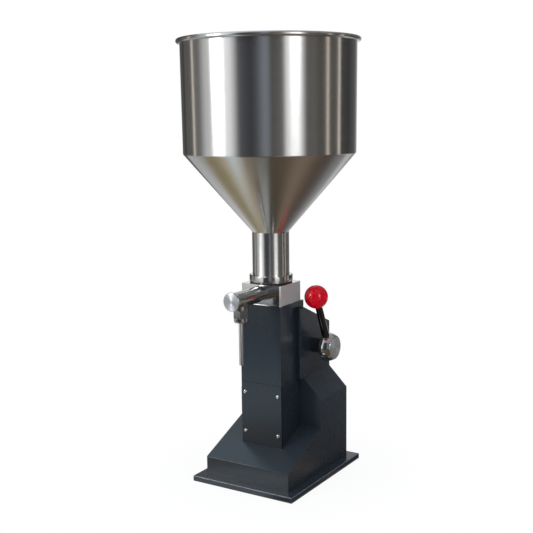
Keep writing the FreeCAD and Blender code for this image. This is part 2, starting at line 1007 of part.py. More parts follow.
def make_nozzle_gasket():
    origin = (0, nozzle_y, nozzle_gasket_z())
    return ring(nozzle_flange_radius, boss_bore_radius, origin, (0, 0, 1), nozzle_gasket_thickness)


def nut_low_z():
    return boss_low_z - stop_gap - nut_hex_height - nut_neck_height


def make_nozzle_tube():
    top = nozzle_gasket_z()
    shoulder = nut_low_z() - stop_gap
    outline = [
        (nozzle_bore_radius, nozzle_end_z),
        (nozzle_radius, nozzle_end_z),
        (nozzle_radius, shoulder),
        (nozzle_shank_radius, shoulder),
        (nozzle_shank_radius, top - nozzle_flange_thickness),
        (nozzle_flange_radius, top - nozzle_flange_thickness),
        (nozzle_flange_radius, top),
        (nozzle_bore_radius, top),
    ]
    return turned(outline, (0, nozzle_y, 0), (0, 0, 1))


def make_nozzle_nut():
    top = boss_low_z - stop_gap
    hex_low = top - nut_hex_height
    neck_low = nut_low_z()
    head = hexagon(nut_flats, (0, nozzle_y, hex_low), (0, 0, 1), nut_hex_height)
    corner = nut_flats / math.sqrt(3)
    limit = [
        (0, hex_low),
        (corner - nut_chamfer, hex_low),
        (corner, hex_low + nut_chamfer),
        (corner, top - nut_chamfer),
        (corner - nut_chamfer, top),
        (0, top),
    ]
    head = head.common(turned(limit, (0, nozzle_y, 0), (0, 0, 1)))
    round_mid = nut_round * arc_middle
    neck = [
        (0, neck_low),
        (nut_neck_radius - nut_round, neck_low),
        (nut_neck_radius, neck_low + nut_round, nut_neck_radius - round_mid, neck_low + round_mid),
        (nut_neck_radius, hex_low + overlap),
        (0, hex_low + overlap),
    ]
    nut = joined([head, turned(neck, (0, nozzle_y, 0), (0, 0, 1))])
    flange_low = nozzle_gasket_z() - nozzle_flange_thickness
    bore = [
        (0, neck_low - past),
        (nozzle_shank_radius + slide_gap, neck_low - past),
        (nozzle_shank_radius + slide_gap, flange_low),
        (boss_spigot_radius + thread_gap, flange_low),
        (boss_spigot_radius + thread_gap, top + past),
        (0, top + past),
    ]
    return nut.cut(turned(bore, (0, nozzle_y, 0), (0, 0, 1)))


# Lever shaft, bearings and gear

def bush_outer_radius():
    return shaft_radius + running_gap + bush_wall


def right_boss_start_x():
    return hood_half - boss_inner_length


def right_boss_end_x():
    return hub_back_x - stop_gap


def left_wall_x():
    return sheet - hood_half


def make_shaft_boss_right():
    start = (right_boss_start_x(), shaft_y, shaft_z)
    length = right_boss_end_x() - right_boss_start_x()
    return ring(boss_outer_radius, bush_outer_radius() + slide_gap / 2, start, (1, 0, 0), length)


def make_shaft_boss_left():
    start = (left_wall_x(), shaft_y, shaft_z)
    return ring(boss_outer_radius, bush_outer_radius() + slide_gap / 2, start, (1, 0, 0), left_boss_length)


def make_shaft_bush_right():
    start = (right_boss_end_x() - bush_length, shaft_y, shaft_z)
    return ring(bush_outer_radius(), shaft_radius + running_gap, start, (1, 0, 0), bush_length)


def make_shaft_bush_left():
    start = (left_wall_x() + left_boss_length - bush_length, shaft_y, shaft_z)
    return ring(bush_outer_radius(), shaft_radius + running_gap, start, (1, 0, 0), bush_length)


def make_drive_shaft():
    start_x = left_wall_x() + shaft_end_gap
    shaft = cylinder(shaft_radius, (start_x, shaft_y, shaft_z), (1, 0, 0), hub_bore_end_x - start_x)
    edge = shaft_radius - key_depth
    slot = box(
        -gear_hub_width / 2,
        gear_hub_width / 2,
        shaft_y + edge,
        shaft_y + shaft_radius + past,
        shaft_z - key_width / 2,
        shaft_z + key_width / 2,
    )
    return shaft.cut(slot)


def make_gear_key():
    edge = shaft_y + shaft_radius - key_depth
    half = key_width / 2
    reach = gear_hub_width / 2
    return box(-reach, reach, edge, edge + key_height, shaft_z - half, shaft_z + half)


def involute_angle(radius):
    base = pitch_radius * math.cos(math.radians(pressure_angle))
    slope = math.acos(min(1.0, base / radius))
    return math.tan(slope) - slope


def gear_point(radius, angle):
    return Vector(0, shaft_y + radius * math.cos(angle), shaft_z + radius * math.sin(angle))


def arc_edge(start, middle, end):
    return Part.Arc(start, middle, end).toShape()


def line_edge(start, end):
    return Part.LineSegment(start, end).toShape()


def tooth_edges(centre, base, tip, root):
    """Edges of one tooth, from its root on the low side over the tip to its root on the high side."""
    thickness = math.pi * gear_module / 2 - gear_backlash
    half = thickness / (2 * pitch_radius) + involute_angle(pitch_radius)
    middle = (base + tip) / 2
    low = [gear_point(r, centre - half + involute_angle(r)) for r in (base, middle, tip)]
    high = [gear_point(r, centre + half - involute_angle(r)) for r in (base, middle, tip)]
    root_low = gear_point(root, centre - half)
    root_high = gear_point(root, centre + half)
    edges = [
        line_edge(root_low, low[0]),
        arc_edge(*low),
        arc_edge(low[2], gear_point(tip, centre), high[2]),
        arc_edge(high[2], high[1], high[0]),
        line_edge(high[0], root_high),
    ]
    return edges, centre - half, centre + half


def make_sector_gear():
    base = pitch_radius * math.cos(math.radians(pressure_angle))
    tip = pitch_radius + gear_module
    root = pitch_radius - 1.25 * gear_module
    step = 2 * math.pi / gear_teeth
    edges = []
    last_angle = None
    for index in range(-gear_teeth_after, gear_teeth_before + 1):
        centre = math.pi + index * step
        tooth, low_angle, high_angle = tooth_edges(centre, base, tip, root)
        start_angle = low_angle - step / 4 if last_angle is None else last_angle
        middle = gear_point(root, (start_angle + low_angle) / 2)
        edges.append(arc_edge(gear_point(root, start_angle), middle, gear_point(root, low_angle)))
        if last_angle is None:
            first_angle = start_angle
        edges += tooth
        last_angle = high_angle
    end_angle = last_angle + step / 4
    middle = gear_point(root, (last_angle + end_angle) / 2)
    edges.append(arc_edge(gear_point(root, last_angle), middle, gear_point(root, end_angle)))
    centre_point = Vector(0, shaft_y, shaft_z)
    edges.append(line_edge(gear_point(root, end_angle), centre_point))
    edges.append(line_edge(centre_point, gear_point(root, first_angle)))
    plate = Part.Face(Part.Wire(edges)).extrude(Vector(gear_width, 0, 0))
    plate.translate(Vector(-gear_width / 2, 0, 0))
    start = (-gear_hub_width / 2, shaft_y, shaft_z)
    gear = joined([plate, cylinder(gear_hub_radius, start, (1, 0, 0), gear_hub_width)])
    bore = (-gear_hub_width / 2 - past, shaft_y, shaft_z)
    length = gear_hub_width + 2 * past
    gear = gear.cut(cylinder(shaft_radius + slide_gap / 2, bore, (1, 0, 0), length))
    key_edge = shaft_y + shaft_radius - key_depth + key_height + panel_gap
    half = key_width / 2 + key_side_gap
    keyway = box(-gear_hub_width, gear_hub_width, shaft_y, key_edge, shaft_z - half, shaft_z + half)
    return gear.cut(keyway)


def make_shaft_collar():
    start_x = -gear_hub_width / 2 - shaft_collar_width
    start = (start_x, shaft_y, shaft_z)
    collar = ring(shaft_collar_radius, shaft_radius + slide_gap / 2, start, (1, 0, 0), shaft_collar_width)
    return collar


# Lever

def along_lever(distance):
    return (
        lever_rod_x,
        shaft_y + lever_direction[1] * distance,
        shaft_z + lever_direction[2] * distance,
    )


def hub_radius_at(x):
    """The hub's side is barrelled: an arc through its widest place."""
    fall = hub_side_radius - math.sqrt(hub_side_radius ** 2 - (x - hub_widest_x) ** 2)
    return hub_radius - fall


def make_lever_hub():
    face = hub_radius_at(hub_face_x)
    outline = [
        (0, hub_back_x),
        (hub_radius_at(hub_back_x), hub_back_x),
        (face, hub_face_x, hub_radius, hub_widest_x),
        (0, hub_face_x),
    ]
    hub = turned(outline, (0, shaft_y, shaft_z), (1, 0, 0))
    hub = hub.makeFillet(hub_face_edge, edges_where(hub, lambda b: b.XMin > hub_face_x - least))
    bore = cylinder(shaft_radius + slide_gap / 2, (hub_back_x - past, shaft_y, shaft_z), (1, 0, 0),
                    hub_bore_end_x - hub_back_x + past)
    flat = cylinder(lever_rod_base_radius + screw_gap, along_lever(lever_seat), lever_direction, hub_radius)
    stud = cylinder(lever_stud_radius + thread_gap, along_lever(lever_seat - lever_stud_length - overlap),
                    lever_direction, hub_radius)
    screw = cylinder(set_screw_radius + thread_gap, (lever_rod_x, shaft_y, shaft_z), (0, 0, -1), hub_radius)
    return hub.cut(bore).cut(flat).cut(stud).cut(screw)


def make_hub_set_screw():
    start = (lever_rod_x, shaft_y, shaft_z - shaft_radius)
    length = hub_radius_at(lever_rod_x) - shaft_radius - set_screw_recess
    screw = cylinder(set_screw_radius, start, (0, 0, -1), length)
    socket_start = (lever_rod_x, shaft_y, shaft_z - shaft_radius - length + set_screw_radius)
    return screw.cut(hexagon(set_screw_hex, socket_start, (0, 0, -1), set_screw_radius + past))


def ball_flat_distance():
    return math.sqrt(ball_radius ** 2 - ball_flat_radius ** 2)


def make_lever_rod():
    tip = lever_length - ball_flat_distance() - lever_seat
    outline = [
        (0, -lever_stud_length),
        (lever_stud_radius, -lever_stud_length),
        (lever_stud_radius, 0),
        (lever_rod_base_radius, 0),
        (lever_rod_tip_radius, tip),
        (lever_stud_radius, tip),
        (lever_stud_radius, tip + ball_stud_length),
        (0, tip + ball_stud_length),
    ]
    return turned(outline, along_lever(lever_seat), lever_direction)


def make_ball_knob():
    low = -ball_flat_distance()
    outline = [
        (0, low),
        (ball_flat_radius, low),
        (0, ball_radius, ball_radius, 0),
    ]
    ball = turned(outline, along_lever(lever_length), lever_direction)
    start = along_lever(lever_length - ball_flat_distance() - past)
    depth = ball_stud_length + ball_stud_room + past
    hole = cylinder(lever_stud_radius + thread_gap, start, lever_direction, depth)
    return ball.cut(hole)


# Piston, rack and crosshead

def make_piston():
    groove = pump_bore_radius - slide_gap - seal_depth
    outer = pump_bore_radius - slide_gap
    outline = [(0, piston_bottom_z), (outer, piston_bottom_z)]
    for low in seal_places():
        outline += [(outer, low), (groove, low), (groove, low + seal_width), (outer, low + seal_width)]
    outline += [(outer, piston_top_z - piston_edge), (outer - piston_edge, piston_top_z), (0, piston_top_z)]
    piston = turned(outline, (0, pump_y, 0), (0, 0, 1))
    start = (0, pump_y, piston_bottom_z - past)
    depth = piston_stud_length + piston_stud_room + past
    hole = cylinder(piston_stud_radius + thread_gap, start, (0, 0, 1), depth)
    return piston.cut(hole)


def seal_places():
    return [piston_bottom_z + seal_inset, piston_top_z - seal_inset - seal_width]


def make_piston_seals():
    groove = pump_bore_radius - slide_gap - seal_depth
    outer = pump_bore_radius - running_gap
    seals = []
    for low in seal_places():
        seals.append(ring(outer, groove, (0, pump_y, low), (0, 0, 1), seal_width))
    return Part.Compound(seals)


def stop_nut_low_z():
    return guide_bottom_z - stop_gap - stop_nut_count * stop_nut_height


def make_piston_rod():
    low = stop_nut_low_z() - rod_end_below_nuts
    outline = [
        (0, low),
        (piston_rod_radius - piston_rod_edge, low),
        (piston_rod_radius, low + piston_rod_edge),
        (piston_rod_radius, piston_bottom_z),
        (piston_stud_radius, piston_bottom_z),
        (piston_stud_radius, piston_bottom_z + piston_stud_length),
        (0, piston_bottom_z + piston_stud_length),
    ]
    rod = turned(outline, (0, pump_y, 0), (0, 0, 1))
    return rod.cut(crosshead_pin_form(thread_gap, piston_rod_radius + past))


def crosshead_pin_form(extra, reach):
    start = (-reach, pump_y, crosshead_z + crosshead_height / 2)
    return cylinder(crosshead_pin_radius + extra, start, (1, 0, 0), 2 * reach)


def make_crosshead_pin():
    return crosshead_pin_form(0, crosshead_width / 2)


def make_crosshead():
    half = crosshead_width / 2
    top = crosshead_z + crosshead_height
    block = box(-half, half, pump_y - crosshead_front, rack_front_y, crosshead_z, top)
    corners = edges_where(block, lambda b: b.ZLength > least and b.YMax < pump_y)
    block = block.makeFillet(crosshead_corner, corners)
    bore = cylinder(piston_rod_radius + slide_gap / 2, (0, pump_y, crosshead_z - past), (0, 0, 1),
                    crosshead_height + 2 * past)
    block = block.cut(bore).cut(crosshead_pin_form(thread_gap, half + past))
    depth = rack_screw_length() - (rack_root_y - rack_front_y) + 2 * past
    for z in rack_screw_heights():
        start = (0, rack_front_y + past, z)
        block = block.cut(cylinder(rack_screw_radius + thread_gap, start, (0, -1, 0), depth))
    return block


def rack_screw_heights():
    middle = crosshead_z + crosshead_height / 2
    return (middle - rack_screw_spacing / 2, middle + rack_screw_spacing / 2)


def rack_screw_length():
    return rack_root_y - pump_y - piston_rod_radius - rack_screw_room


def make_rack():
    tip_y = rack_pitch_y + gear_module
    lean = math.tan(math.radians(pressure_angle))
    half = math.pi * gear_module / 4 - gear_backlash / 2
    root_half = half + (rack_pitch_y - rack_root_y) * lean
    tip_half = half - (tip_y - rack_pitch_y) * lean
    low = crosshead_z
    outline = [(rack_front_y, low), (rack_root_y, low)]
    for index in range(-gear_teeth_before - 1, gear_teeth_after + 1):
        centre = shaft_z + (index + 0.5) * rack_pitch
        outline += [
            (rack_root_y, centre - root_half),
            (tip_y, centre - tip_half),
            (tip_y, centre + tip_half),
            (rack_root_y, centre + root_half),
        ]
    high = shaft_z + (gear_teeth_after + 1) * rack_pitch + rack_end
    outline += [(rack_root_y, high), (rack_front_y, high)]
    rack = prism_along_x(outline, -rack_width / 2, rack_width / 2)
    for z in rack_screw_heights():
        start = (0, rack_front_y - past, z)
        length = rack_root_y - rack_front_y + 2 * past
        rack = rack.cut(cylinder(rack_screw_radius + screw_gap, start, (0, 1, 0), length))
    return rack


def make_rack_screws():
    screws = []
    for z in rack_screw_heights():
        screws.append(
            cap_screw(
                rack_screw_radius,
                pump_bolt_head_radius,
                pump_bolt_head_height,
                rack_screw_length(),
                pump_bolt_hex,
                (0, rack_root_y, z),
                (0, 1, 0),
            )
        )
    return Part.Compound(screws)


def make_stop_nuts():
    nuts = []
    for index in range(stop_nut_count):
        origin = (0, pump_y, stop_nut_low_z() + index * stop_nut_height)
        nut = hexagon(stop_nut_flats, origin, (0, 0, 1), stop_nut_height)
        start = (0, pump_y, origin[2] - past)
        length = stop_nut_height + 2 * past
        nuts.append(nut.cut(cylinder(piston_rod_radius + thread_gap, start, (0, 0, 1), length)))
    return Part.Compound(nuts)


# Guide bracket, return spring and stops

def make_guide_bracket():
    plate = box(
        -column_inner_half,
        column_inner_half,
        column_front_y + front_cover_thickness + sheet + panel_gap,
        column_back_y - sheet,
        bracket_z,
        bracket_z + bracket_thickness,
    )
    outer = piston_rod_radius + guide_bush_wall + thread_gap
    start = (0, pump_y, bracket_z - past)
    return plate.cut(cylinder(outer, start, (0, 0, 1), bracket_thickness + 2 * past))


def make_guide_bush():
    inner = piston_rod_radius + slide_gap
    outer = piston_rod_radius + guide_bush_wall
    outline = [
        (inner, guide_bottom_z),
        (outer, guide_bottom_z),
        (outer, bracket_z + bracket_thickness),
        (guide_flange_radius, bracket_z + bracket_thickness),
        (guide_flange_radius, guide_top_z),
        (inner, guide_top_z),
    ]
    return turned(outline, (0, pump_y, 0), (0, 0, 1))


def make_return_spring():
    length = crosshead_z - guide_top_z
    return coil(return_radius, return_wire, length, return_turns, (0, pump_y, guide_top_z), (0, 0, 1))


def make_stop_tube():
    low = bracket_z + bracket_thickness
    high = crosshead_z - stroke - stop_gap
    return ring(stop_tube_radius, stop_tube_radius - stop_tube_wall, (0, pump_y, low), (0, 0, 1), high - low)


PIECES = {
    "base_plate": make_base_plate,
    "base_screws": make_base_screws,
    "base_housing": make_base_housing,
    "column_housing": make_column_housing,
    "front_cover": make_front_cover,
    "front_cover_screws": make_front_cover_screws,
    "top_plate": make_top_plate,
    "hood": make_hood,
    "rear_cover": make_rear_cover,
    "rear_cover_screws": make_rear_cover_screws,
    "valve_block": make_valve_block,
    "pump_cylinder": make_pump_cylinder,
    "pump_gasket": make_pump_gasket,
    "pump_bolts": make_pump_bolts,
    "inlet_seat": make_inlet_seat,
    "inlet_poppet": make_inlet_poppet,
    "inlet_clip": make_inlet_clip,
    "inlet_spring": make_inlet_spring,
    "hopper": make_hopper,
    "hopper_collar": make_hopper_collar,
    "collar_gasket": make_collar_gasket,
    "discharge_tube": make_discharge_tube,
    "tube_end_cap": make_tube_end_cap,
    "end_cap_seal": make_end_cap_seal,
    "outlet_seat": make_outlet_seat,
    "outlet_ball": make_outlet_ball,
    "outlet_spring": make_outlet_spring,
    "outlet_retainer": make_outlet_retainer,
    "nozzle_gasket": make_nozzle_gasket,
    "nozzle_tube": make_nozzle_tube,
    "nozzle_nut": make_nozzle_nut,
    "shaft_boss_right": make_shaft_boss_right,
    "shaft_boss_left": make_shaft_boss_left,
    "shaft_bush_right": make_shaft_bush_right,
    "shaft_bush_left": make_shaft_bush_left,
    "drive_shaft": make_drive_shaft,
    "gear_key": make_gear_key,
    "sector_gear": make_sector_gear,
    "shaft_collar": make_shaft_collar,
    "lever_hub": make_lever_hub,
    "hub_set_screw": make_hub_set_screw,
    "lever_rod": make_lever_rod,
    "ball_knob": make_ball_knob,
    "piston": make_piston,
    "piston_seals": make_piston_seals,
    "piston_rod": make_piston_rod,
    "crosshead": make_crosshead,
    "crosshead_pin": make_crosshead_pin,
    "rack": make_rack,
    "rack_screws": make_rack_screws,
    "stop_nuts": make_stop_nuts,
    "guide_bracket": make_guide_bracket,
    "guide_bush": make_guide_bush,
    "return_spring": make_return_spring,
    "stop_tube": make_stop_tube,
}

os.makedirs("parts", exist_ok=True)
for name, make in PIECES.items():
    make().exportStep("parts/" + name + ".step")
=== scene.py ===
import json
import math

import bmesh
import bpy
from mathutils import Matrix, Vector


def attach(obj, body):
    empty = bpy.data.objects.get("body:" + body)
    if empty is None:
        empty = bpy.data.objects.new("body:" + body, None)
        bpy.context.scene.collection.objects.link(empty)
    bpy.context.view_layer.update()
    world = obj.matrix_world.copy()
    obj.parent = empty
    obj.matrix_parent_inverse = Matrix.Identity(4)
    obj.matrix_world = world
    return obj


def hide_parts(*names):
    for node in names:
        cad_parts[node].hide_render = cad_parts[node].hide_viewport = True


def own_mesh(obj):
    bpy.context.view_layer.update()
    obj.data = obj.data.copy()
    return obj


# Looks of the manual paste filling machine. Lengths in metres, in the frame of the solids:
# X to the right seen from the front, Y to the back, Z up.

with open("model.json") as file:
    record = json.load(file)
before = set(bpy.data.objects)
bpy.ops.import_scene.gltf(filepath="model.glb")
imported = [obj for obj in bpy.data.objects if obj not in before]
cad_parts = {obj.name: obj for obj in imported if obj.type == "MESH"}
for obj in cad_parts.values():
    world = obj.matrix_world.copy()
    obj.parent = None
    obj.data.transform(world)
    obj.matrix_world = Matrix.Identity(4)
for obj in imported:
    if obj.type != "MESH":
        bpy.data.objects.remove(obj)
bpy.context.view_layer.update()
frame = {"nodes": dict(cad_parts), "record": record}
NODES = frame["nodes"]
MM = 0.001

UP = (0, 0, 1)
RIGHT = (1, 0, 0)
FRONT = (0, -1, 0)
BACK = (0, 1, 0)

# Camera, from a least-squares fit of the camera and the main sizes to corners and edges that were read
# in the photograph
CAMERA_PLACE = Vector((0.88651, -1.43759, 0.65286))
CAMERA_YAW = math.radians(32.26)
CAMERA_PITCH = math.radians(9.13)
CAMERA_ROLL = math.radians(-0.73)
CAMERA_LENS = 64.36
CAMERA_SENSOR = 36
CAMERA_RANGE = (0.01, 100)

# Fineness of turned pieces, with the usual radius of their edges in millimetres
TURNS = 160
COARSE_TURNS = 96
SOFT_EDGE = 0.35
ARC_STEPS = 5
NEARLY_STRAIGHT = math.radians(150)
LARGEST_CUT = 0.45
SAME_PLACE = 1e-7
SHARP_ANGLE = math.radians(32)
END_DEPTH = 0.2 * MM

# Eased edges of pieces with flat faces
WELD_GAP = 1e-6
FLAT_ANGLE = math.radians(1)
EDGE_ANGLE = math.radians(30)
EDGE_SEGMENTS = 3

# A face looks along an axis when that part of its normal is above the first value, and to the side of
# it when the part is below the second
FACING = 0.9
SIDEWAYS = 0.5


# Shapes

def on_axis(origin, axis):
    """Matrix that takes local Z to the axis and the local origin to the given place."""
    turn = Vector(axis).normalized().to_track_quat("Z", "Y").to_matrix().to_4x4()
    return Matrix.Translation(Vector(origin)) @ turn


def rounded(outline, soft):
    """The outline of (radius, height) points with each inner corner eased by an arc."""
    if not soft:
        return [Vector(point) for point in outline]
    made = [Vector(outline[0])]
    for before, corner, after in zip(outline, outline[1:], outline[2:]):
        corner = Vector(corner)
        to_before = Vector(before) - corner
        to_after = Vector(after) - corner
        if to_before.angle(to_after) > NEARLY_STRAIGHT:
            made.append(corner)
            continue
        cut = min(soft, to_before.length * LARGEST_CUT, to_after.length * LARGEST_CUT)
        start = corner + to_before.normalized() * cut
        end = corner + to_after.normalized() * cut
        for step in range(ARC_STEPS + 1):
            t = step / ARC_STEPS
            made.append(start * (1 - t) ** 2 + corner * 2 * t * (1 - t) + end * t ** 2)
    made.append(Vector(outline[-1]))
    return made


def arc(centre, radius, start, end, steps):
    """Points of an arc in an outline, from one angle in degrees to another."""
    points = []
    for step in range(steps + 1):
        angle = math.radians(start + (end - start) * step / steps)
        points.append((centre[0] + radius * math.cos(angle), centre[1] + radius * math.sin(angle)))
    return points


def stepped(start, *steps, bore=0):
    """Outline of a round piece with steps, from the (radius, end) of each one. Without a bore it runs
    from the axis to the axis, and with one it is closed."""
    outline = [(bore, start)]
    height = start
    for radius, end in steps:
        outline += [(radius, height), (radius, end)]
        height = end
    outline.append((bore, height))
    if bore:
        outline.append((bore, start))
    return outline


def mm(points):
    return [(radius * MM, height * MM) for radius, height in points]


def linked(name, mesh):
    """Object in the scene, made from a finished bmesh."""
    data = bpy.data.meshes.new(name)
    mesh.to_mesh(data)
    mesh.free()
    made = bpy.data.objects.new(name, data)
    bpy.context.scene.collection.objects.link(made)
    return made


def spun(name, outline, origin, axis, soft=SOFT_EDGE, turns=TURNS):
    """Smooth turned solid from (radius, height) points, with its axis as local Z. The points and the
    radius of the soft edges are in millimetres."""
    mesh = bmesh.new()
    rings = []
    for point in rounded(mm(outline), soft * MM):
        ring = []
        for step in range(turns):
            angle = 2 * math.pi * step / turns
            ring.append(mesh.verts.new((point.x * math.cos(angle), point.x * math.sin(angle), point.y)))
        rings.append(ring)
    for ring, above in zip(rings, rings[1:]):
        for step in range(turns):
            after = (step + 1) % turns
            mesh.faces.new((ring[step], ring[after], above[after], above[step]))
    bmesh.ops.remove_doubles(mesh, verts=mesh.verts, dist=SAME_PLACE)
    bmesh.ops.recalc_face_normals(mesh, faces=mesh.faces)
    piece = linked(name, mesh)
    piece.matrix_world = on_axis(origin, axis)
    return piece


def cutter(name, radius, start, end, origin, axis):
    """Plain round solid that cuts a hole or a seat."""
    return spun(name, stepped(start, (radius, end)), origin, axis, soft=0, turns=COARSE_TURNS)


def worked(piece, added=(), cut=()):
    """Adds solids to a piece and cuts others from it."""
    bpy.context.view_layer.objects.active = piece
    for operation, tools in (("UNION", added), ("DIFFERENCE", cut)):
        for tool in tools:
            modifier = piece.modifiers.new("work", "BOOLEAN")
            modifier.operation = operation
            modifier.solver = "EXACT"
            modifier.object = tool
            bpy.ops.object.modifier_apply(modifier=modifier.name)
            bpy.data.objects.remove(tool)
    return piece


def eased(node, width, edge_highlight_and_shadow=None):
    """Gives the edges of a solid with flat faces a small radius that catches the light. A second material
    on that radius paints light there: a painted highlight on the base, a painted shadow round the front
    cover.
    """
    piece = NODES[node]
    weld = piece.modifiers.new("weld", "WELD")
    weld.merge_threshold = WELD_GAP
    flatten = piece.modifiers.new("flatten", "DECIMATE")
    flatten.decimate_type = "DISSOLVE"
    flatten.angle_limit = FLAT_ANGLE
    bevel = piece.modifiers.new("ease", "BEVEL")
    bevel.width = width
    bevel.segments = EDGE_SEGMENTS
    bevel.limit_method = "ANGLE"
    bevel.angle_limit = EDGE_ANGLE
    bevel.harden_normals = True
    if edge_highlight_and_shadow:
        piece.data.materials.append(edge_highlight_and_shadow)
        bevel.material = 1


def paint(piece, material):
    """Makes one material the only one of a piece."""
    piece.data.materials.clear()
    piece.data.materials.append(material)


def paint_second(piece, chosen):
    """Puts a piece's second material on the chosen faces."""
    for face in piece.data.polygons:
        if chosen(face):
            face.material_index = 1


def shown(piece, body, node, material, face_material=None):
    """Puts a finished piece in the place of the solid that it stands for. Its end face, at the top of
    its axis, may have a material of its own."""
    piece.data.shade_smooth()
    piece.data.set_sharp_from_angle(angle=SHARP_ANGLE)
    paint(piece, material)
    if face_material:
        piece.data.materials.append(face_material)
        top = max(vertex.co.z for vertex in piece.data.vertices)
        paint_second(piece, lambda face: face.normal.z > FACING and face.center.z > top - END_DEPTH)
    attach(piece, body)
    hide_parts(node)


# Shader nodes

NOISE_LOW, NOISE_HIGH = 0.3, 0.7
QUARTER_TURN = 0.25
METAL_RELIEF = 0.05 * MM
COAT_RELIEF = 0.2 * MM


def new_material(name):
    material = bpy.data.materials.new(name)
    material.use_nodes = True
    nodes = material.node_tree.nodes
    return material, nodes, material.node_tree.links, nodes["Principled BSDF"]


def mapped(nodes, links, value, low, high, start=0.0, end=1.0):
    """Takes a value that runs from start to end to one that runs from low to high."""
    spread = nodes.new("ShaderNodeMapRange")
    spread.inputs["From Min"].default_value = start
    spread.inputs["From Max"].default_value = end
    spread.inputs["To Min"].default_value = low
    spread.inputs["To Max"].default_value = high
    links.new(value, spread.inputs["Value"])
    return spread.outputs["Result"]


def combined(nodes, links, operation, first, second, clamped=False):
    """Sum or product of two values."""
    node = nodes.new("ShaderNodeMath")
    node.operation = operation
    node.use_clamp = clamped
    links.new(first, node.inputs[0])
    links.new(second, node.inputs[1])
    return node.outputs[0]


def mixed(nodes, links, share, first, second, output):
    """Sends a mix of two shaders to the output."""
    mix = nodes.new("ShaderNodeMixShader")
    links.new(share, mix.inputs["Fac"])
    links.new(first, mix.inputs[1])
    links.new(second, mix.inputs[2])
    links.new(mix.outputs[0], output.inputs["Surface"])


def grain(nodes, links, stretch, detail=4.0, turned=False):
    """Noise drawn out along one direction, or round the axis of a turned piece, where stretch is for
    the distance from the axis, the place along it and the place across it."""
    source = nodes.new("ShaderNodeTexCoord").outputs["Object"]
    if turned:
        flat = nodes.new("ShaderNodeVectorMath")
        flat.operation = "MULTIPLY"
        flat.inputs[1].default_value = (1, 1, 0)
        away = nodes.new("ShaderNodeVectorMath")
        away.operation = "LENGTH"
        split = nodes.new("ShaderNodeSeparateXYZ")
        joined = nodes.new("ShaderNodeCombineXYZ")
        links.new(source, flat.inputs[0])
        links.new(flat.outputs[0], away.inputs[0])
        links.new(source, split.inputs[0])
        links.new(away.outputs["Value"], joined.inputs[0])
        links.new(split.outputs["Z"], joined.inputs[1])
        links.new(split.outputs["X"], joined.inputs[2])
        source = joined.outputs[0]
    spread = nodes.new("ShaderNodeMapping")
    spread.inputs["Scale"].default_value = stretch
    noise = nodes.new("ShaderNodeTexNoise")
    noise.inputs["Scale"].default_value = 1.0
    noise.inputs["Detail"].default_value = detail
    links.new(source, spread.inputs["Vector"])
    links.new(spread.outputs["Vector"], noise.inputs["Vector"])
    return noise.outputs["Fac"]


def tinted(nodes, links, value, dark, light):
    """Colour between the dark and the light one."""
    mix = nodes.new("ShaderNodeMix")
    mix.data_type = "RGBA"
    mix.inputs["A"].default_value = (*dark, 1)
    mix.inputs["B"].default_value = (*light, 1)
    links.new(value, mix.inputs["Factor"])
    return mix.outputs["Result"]


def dressed(nodes, links, shader, value, dark, light, rough):
    """Colour and roughness that follow the grain."""
    links.new(tinted(nodes, links, value, dark, light), shader.inputs["Base Color"])
    roughness = mapped(nodes, links, value, *rough, NOISE_LOW, NOISE_HIGH)
    links.new(roughness, shader.inputs["Roughness"])


def bumped(nodes, links, shader, value, strength, distance):
    bump = nodes.new("ShaderNodeBump")
    bump.inputs["Strength"].default_value = strength
    bump.inputs["Distance"].default_value = distance
    links.new(value, bump.inputs["Height"])
    links.new(bump.outputs["Normal"], shader.inputs["Normal"])


def metal(name, dark, light, rough, stretch, bump=0.0, turned=False, drawn=0.0, metallic=1.0):
    """Steel or bronze. drawn is how far the grain round the axis draws the highlights out along it."""
    material, nodes, links, shader = new_material(name)
    shader.inputs["Metallic"].default_value = metallic
    if drawn:
        shader.inputs["Anisotropic"].default_value = drawn
        shader.inputs["Anisotropic Rotation"].default_value = QUARTER_TURN
        round_axis = nodes.new("ShaderNodeTangent")
        round_axis.direction_type = "RADIAL"
        round_axis.axis = "Z"
        links.new(round_axis.outputs["Tangent"], shader.inputs["Tangent"])
    value = grain(nodes, links, stretch, turned=turned)
    dressed(nodes, links, shader, value, dark, light, rough)
    if bump:
        bumped(nodes, links, shader, value, bump, METAL_RELIEF)
    return material


def coated(name, dark, light, rough, scale, bump, specular=0.5):
    """Paint, plastic or rubber with a fine uneven surface."""
    material, nodes, links, shader = new_material(name)
    shader.inputs["Specular IOR Level"].default_value = specular
    value = grain(nodes, links, (scale, scale, scale), detail=3.0)
    dressed(nodes, links, shader, value, dark, light, rough)
    bumped(nodes, links, shader, value, bump, COAT_RELIEF)
    return material


# Materials: dark and light colour, least and greatest roughness, then the grain per metre

BRUSHED = metal(
    "brushed_stainless", (0.62, 0.62, 0.61), (0.74, 0.74, 0.74), (0.20, 0.26), (1500, 1500, 20),
    bump=0.04, turned=True, drawn=0.9,
)
POLISHED = metal("polished_stainless", (0.56, 0.56, 0.56), (0.66, 0.66, 0.66), (0.08, 0.14), (60, 60, 400))
TURNED = metal(
    "turned_stainless", (0.56, 0.56, 0.56), (0.70, 0.70, 0.69), (0.10, 0.17), (2600, 2600, 30),
    bump=0.08, turned=True, drawn=0.6,
)
TURNED_FACE = metal(
    "turned_face", (0.52, 0.52, 0.53), (0.74, 0.74, 0.75), (0.26, 0.38), (3200, 3200, 40),
    bump=0.2, turned=True, drawn=0.85, metallic=0.9,
)
